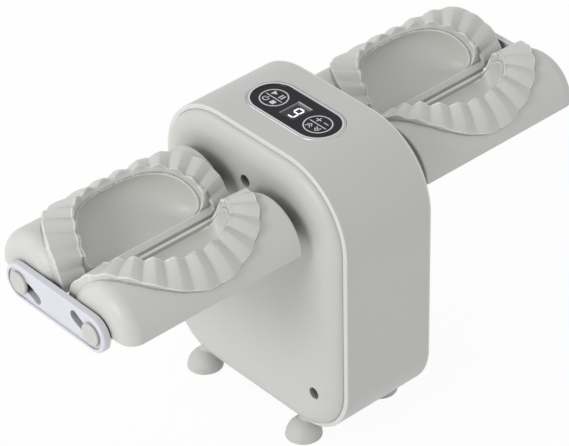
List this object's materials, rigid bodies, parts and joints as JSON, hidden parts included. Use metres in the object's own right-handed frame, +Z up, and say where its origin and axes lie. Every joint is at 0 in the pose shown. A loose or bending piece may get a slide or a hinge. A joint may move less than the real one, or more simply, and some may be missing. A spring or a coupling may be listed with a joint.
{
  "type": "electric dumpling machine",
  "caption": "Countertop dumpling maker: an upright rounded body with a touch panel turns meshing half-round scalloped moulds that stand out on both sides.",
  "frame": {"origin": "on the worktop, under the middle of the whole machine, where the four feet stand", "axes": "+X along the mould shafts, +Y from the front to the back with the charging socket, +Z up"},
  "size_m": [0.2916, 0.125, 0.1617],
  "materials": {
    "body_plastic": "satin warm light grey moulded plastic",
    "mould_plastic": "satin warm light grey moulded plastic",
    "link_plastic": "satin cool pale grey moulded plastic",
    "pin_plastic": "satin light grey moulded plastic",
    "foot_rubber": "soft pale grey rubber",
    "panel_black": "glossy near-black touch glass with white print",
    "bezel_chrome": "bright silver plated ring",
    "display": "white seven-segment display block",
    "dark_screw": "black oxide steel",
    "frame_plastic": "dark grey moulded plastic",
    "spacer_metal": "turned aluminium",
    "bush_bronze": "sintered bronze",
    "seal_rubber": "black lip seal",
    "gearbox_plastic": "black moulded plastic",
    "motor_steel": "zinc plated motor can",
    "circuit_board": "green solder mask",
    "spring_steel": "spring wire",
    "cell_sleeve": "blue shrink sleeve",
    "socket_steel": "stamped steel shell",
    "shaft_steel": "ground steel bar",
    "gear_plastic": "natural acetal"
  },
  "bodies": {
    "housing": {"body_band": "body_plastic", "right_cover": "body_plastic", "left_cover": "body_plastic", "right_cover_screws": "dark_screw", "left_cover_screws": "dark_screw", "right_frame_plate": "frame_plastic", "left_frame_plate": "frame_plastic", "frame_spacers": "spacer_metal", "frame_bushes": "bush_bronze", "cover_bushes": "bush_bronze", "shaft_seals": "seal_rubber", "gear_motor_box": "gearbox_plastic", "motor_can": "motor_steel", "panel_bezel": "bezel_chrome", "touch_panel": "panel_black", "control_board": "circuit_board", "control_board_screws": "dark_screw", "digit_display": "display", "touch_springs": "spring_steel", "battery_tray": "frame_plastic", "battery_cells": "cell_sleeve", "board_standoffs": "frame_plastic", "power_board": "circuit_board", "charging_socket": "socket_steel", "left_front_foot": "foot_rubber", "right_front_foot": "foot_rubber", "left_back_foot": "foot_rubber", "right_back_foot": "foot_rubber"},
    "front_drive": {"front_shaft": "shaft_steel", "front_shaft_gear": "gear_plastic"},
    "back_drive": {"back_shaft": "shaft_steel", "back_shaft_gear": "gear_plastic"},
    "motor_output": {"motor_output_shaft": "shaft_steel", "motor_pinion": "gear_plastic"},
    "right_link": {"right_link_plate": "link_plastic"},
    "left_link": {"left_link_plate": "link_plastic"},
    "right_front_roller": {"right_front_mould": "mould_plastic", "right_front_pin": "pin_plastic"},
    "right_back_roller": {"right_back_mould": "mould_plastic", "right_back_pin": "pin_plastic"},
    "left_front_roller": {"left_front_mould": "mould_plastic", "left_front_pin": "pin_plastic"},
    "left_back_roller": {"left_back_mould": "mould_plastic", "left_back_pin": "pin_plastic"}
  },
  "joints": [
    {"name": "front_shaft_spin", "type": "hinge", "parent": "housing", "child": "front_drive", "pos_m": [0, -0.0255, 0.124], "axis": [1, 0, 0], "continuous": true},
    {"name": "back_shaft_spin", "type": "hinge", "parent": "housing", "child": "back_drive", "pos_m": [0, 0.0255, 0.124], "axis": [1, 0, 0], "continuous": true},
    {"name": "motor_output_spin", "type": "hinge", "parent": "housing", "child": "motor_output", "pos_m": [0, -0.0255, 0.088], "axis": [1, 0, 0], "continuous": true},
    {"name": "right_moulds_pull_off", "type": "slide", "parent": "housing", "child": "right_link", "axis": [1, 0, 0], "range_m": [0, 0.03]},
    {"name": "right_front_mould_spin", "type": "hinge", "parent": "right_link", "child": "right_front_roller", "pos_m": [0.0893, -0.0255, 0.124], "axis": [1, 0, 0], "continuous": true},
    {"name": "right_back_mould_spin", "type": "hinge", "parent": "right_link", "child": "right_back_roller", "pos_m": [0.0893, 0.0255, 0.124], "axis": [1, 0, 0], "continuous": true},
    {"name": "left_moulds_pull_off", "type": "slide", "parent": "housing", "child": "left_link", "axis": [-1, 0, 0], "range_m": [0, 0.03]},
    {"name": "left_front_mould_spin", "type": "hinge", "parent": "left_link", "child": "left_front_roller", "pos_m": [-0.0893, -0.0255, 0.124], "axis": [1, 0, 0], "continuous": true},
    {"name": "left_back_mould_spin", "type": "hinge", "parent": "left_link", "child": "left_back_roller", "pos_m": [-0.0893, 0.0255, 0.124], "axis": [1, 0, 0], "continuous": true}
  ],
  "couplings": [
    {"joint": "back_shaft_spin", "follows": "front_shaft_spin", "ratio": -1},
    {"joint": "motor_output_spin", "follows": "front_shaft_spin", "ratio": -2.4286},
    {"joint": "right_front_mould_spin", "follows": "front_shaft_spin", "ratio": 1},
    {"joint": "right_back_mould_spin", "follows": "front_shaft_spin", "ratio": -1},
    {"joint": "left_front_mould_spin", "follows": "front_shaft_spin", "ratio": 1},
    {"joint": "left_back_mould_spin", "follows": "front_shaft_spin", "ratio": -1}
  ]
}
